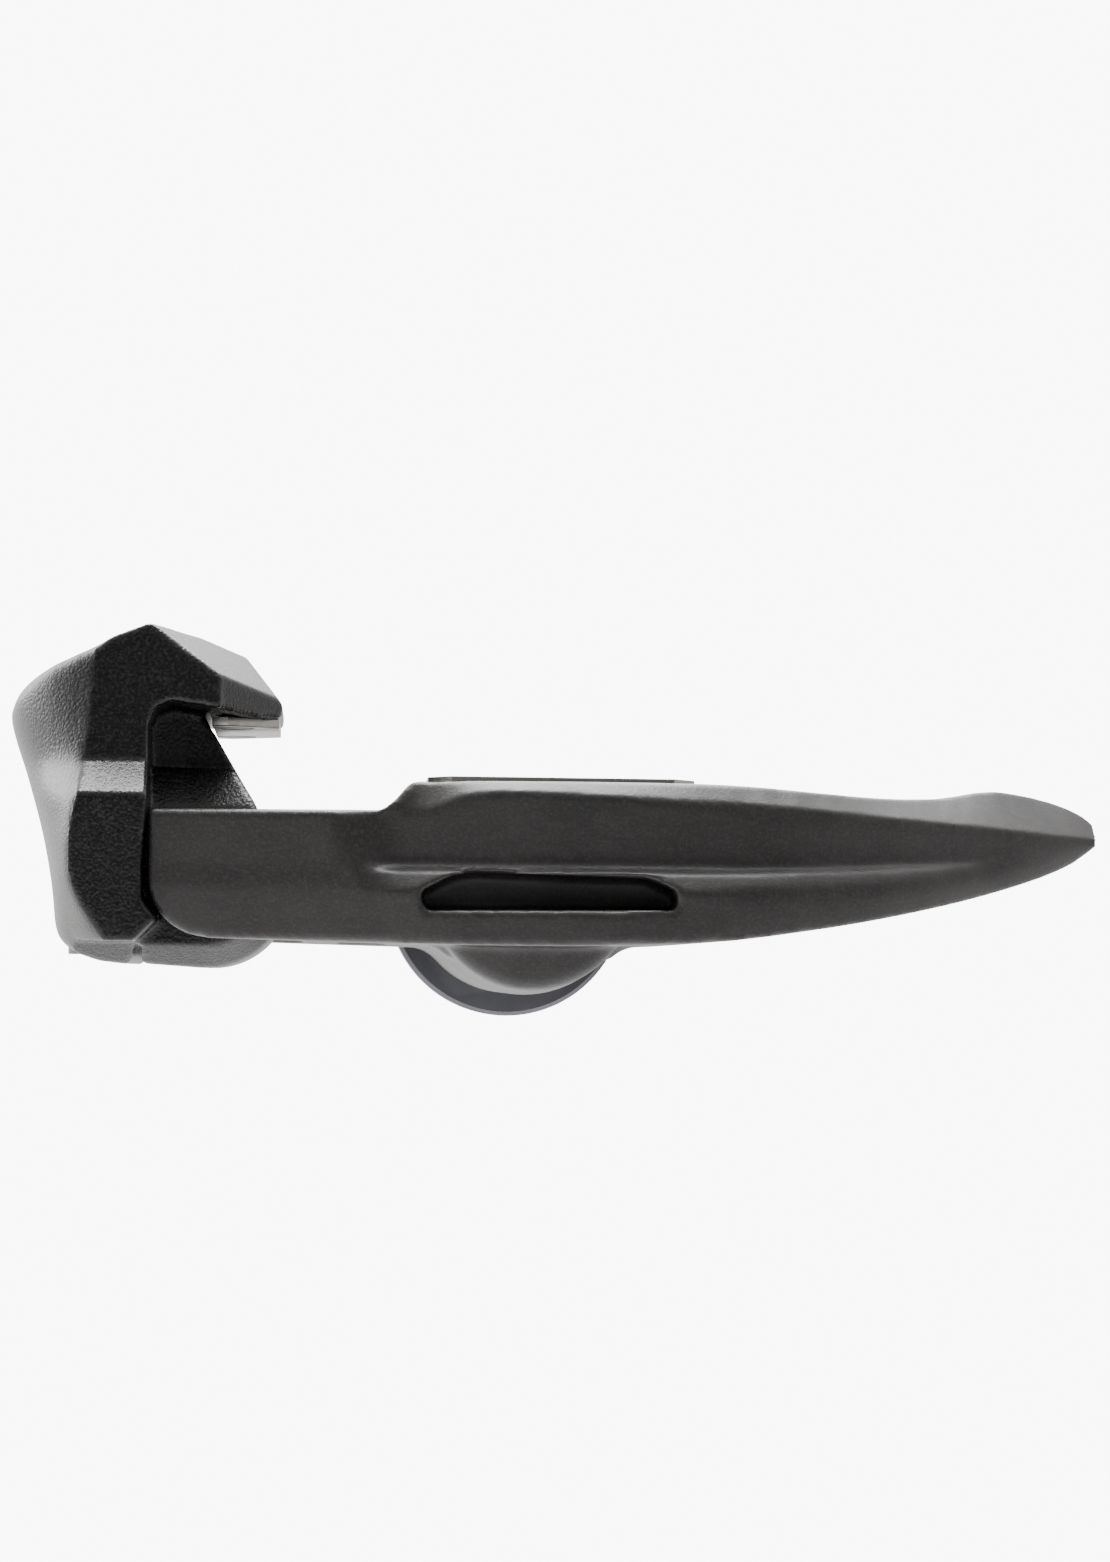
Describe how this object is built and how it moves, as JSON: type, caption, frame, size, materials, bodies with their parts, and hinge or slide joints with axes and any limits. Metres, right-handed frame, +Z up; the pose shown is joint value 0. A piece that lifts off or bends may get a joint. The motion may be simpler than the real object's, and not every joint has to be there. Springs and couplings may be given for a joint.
{
  "type": "clip-in road bicycle pedal",
  "caption": "Right-hand clip-in road pedal: boat-shaped composite body with a nose hook, a sprung rear claw, and a steel spindle turning in a cartridge bearing.",
  "frame": {"origin": "on the spindle axis at the shoulder face that seats against the crank arm", "axes": "+X towards the pedal's nose, +Y along the spindle towards the crank, +Z up, towards the shoe"},
  "size_m": [0.1002, 0.0956, 0.0348],
  "materials": {
    "spindle_steel": "ground steel, lightly brushed",
    "seal_rubber": "black rubber lip seal",
    "bearing_steel": "polished bearing steel",
    "carbon_composite": "carbon-filled moulding, satin with a fine grain",
    "claw_composite": "glass-filled moulding with a pebbled grain",
    "cover_composite": "smooth dark moulding",
    "stainless_plate": "brushed stainless sheet",
    "screw_steel": "dark steel fastener",
    "sleeve_alloy": "machined alloy",
    "collar_alloy": "black anodised, polished",
    "pin_steel": "ground pin",
    "spring_steel": "oiled spring wire"
  },
  "bodies": {
    "spindle_group": {"spindle": "spindle_steel", "inner_cone": "bearing_steel", "outer_cone": "bearing_steel", "key_washer": "bearing_steel", "lock_nut": "bearing_steel"},
    "body_group": {"pedal_body": "carbon_composite", "wear_plate": "stainless_plate", "plate_screws": "screw_steel", "bearing_sleeve": "sleeve_alloy", "lock_collar": "collar_alloy", "dust_seal": "seal_rubber", "hinge_pin": "pin_steel", "hinge_plug": "screw_steel", "outer_spring": "spring_steel", "inner_spring": "spring_steel"},
    "claw_group": {"rear_claw": "claw_composite", "lip_insert": "stainless_plate", "insert_screws": "screw_steel", "spring_cover": "cover_composite"},
    "tension_plate_body": {"tension_plate": "screw_steel"},
    "tension_bolt_body": {"tension_bolt": "screw_steel"},
    "needle_set": {"needle_rollers": "bearing_steel"},
    "inner_ball_set": {"inner_balls": "bearing_steel"},
    "outer_ball_set": {"outer_balls": "bearing_steel"}
  },
  "joints": [
    {"name": "body_spin", "type": "hinge", "parent": "spindle_group", "child": "body_group", "pos_m": [0, -0.052, 0], "axis": [0, 1, 0], "continuous": true},
    {"name": "claw_release", "type": "hinge", "parent": "body_group", "child": "claw_group", "pos_m": [-0.0286, -0.052, 0], "axis": [0, -1, 0], "range_deg": [0, 16], "stiffness_Nm_per_rad": 3, "springref_deg": -40.11, "deforming": ["outer_spring", "inner_spring"]},
    {"name": "tension_bolt_turn", "type": "hinge", "parent": "claw_group", "child": "tension_bolt_body", "pos_m": [-0.0389, -0.052, 0], "axis": [0, 0, 1], "range_deg": [-360, 360]},
    {"name": "tension_plate_slide", "type": "slide", "parent": "claw_group", "child": "tension_plate_body", "axis": [0, 0, 1], "range_m": [-0.0006, 0.0006]},
    {"name": "needle_roll", "type": "hinge", "parent": "spindle_group", "child": "needle_set", "pos_m": [0, -0.052, 0], "axis": [0, 1, 0], "continuous": true},
    {"name": "inner_ball_roll", "type": "hinge", "parent": "spindle_group", "child": "inner_ball_set", "pos_m": [0, -0.052, 0], "axis": [0, 1, 0], "continuous": true},
    {"name": "outer_ball_roll", "type": "hinge", "parent": "spindle_group", "child": "outer_ball_set", "pos_m": [0, -0.052, 0], "axis": [0, 1, 0], "continuous": true}
  ],
  "couplings": [
    {"joint": "needle_roll", "follows": "body_spin", "ratio": 0.562},
    {"joint": "inner_ball_roll", "follows": "body_spin", "ratio": 0.609},
    {"joint": "outer_ball_roll", "follows": "body_spin", "ratio": 0.609},
    {"joint": "tension_bolt_turn", "follows": "tension_plate_slide", "rad_per_m": 8976}
  ]
}
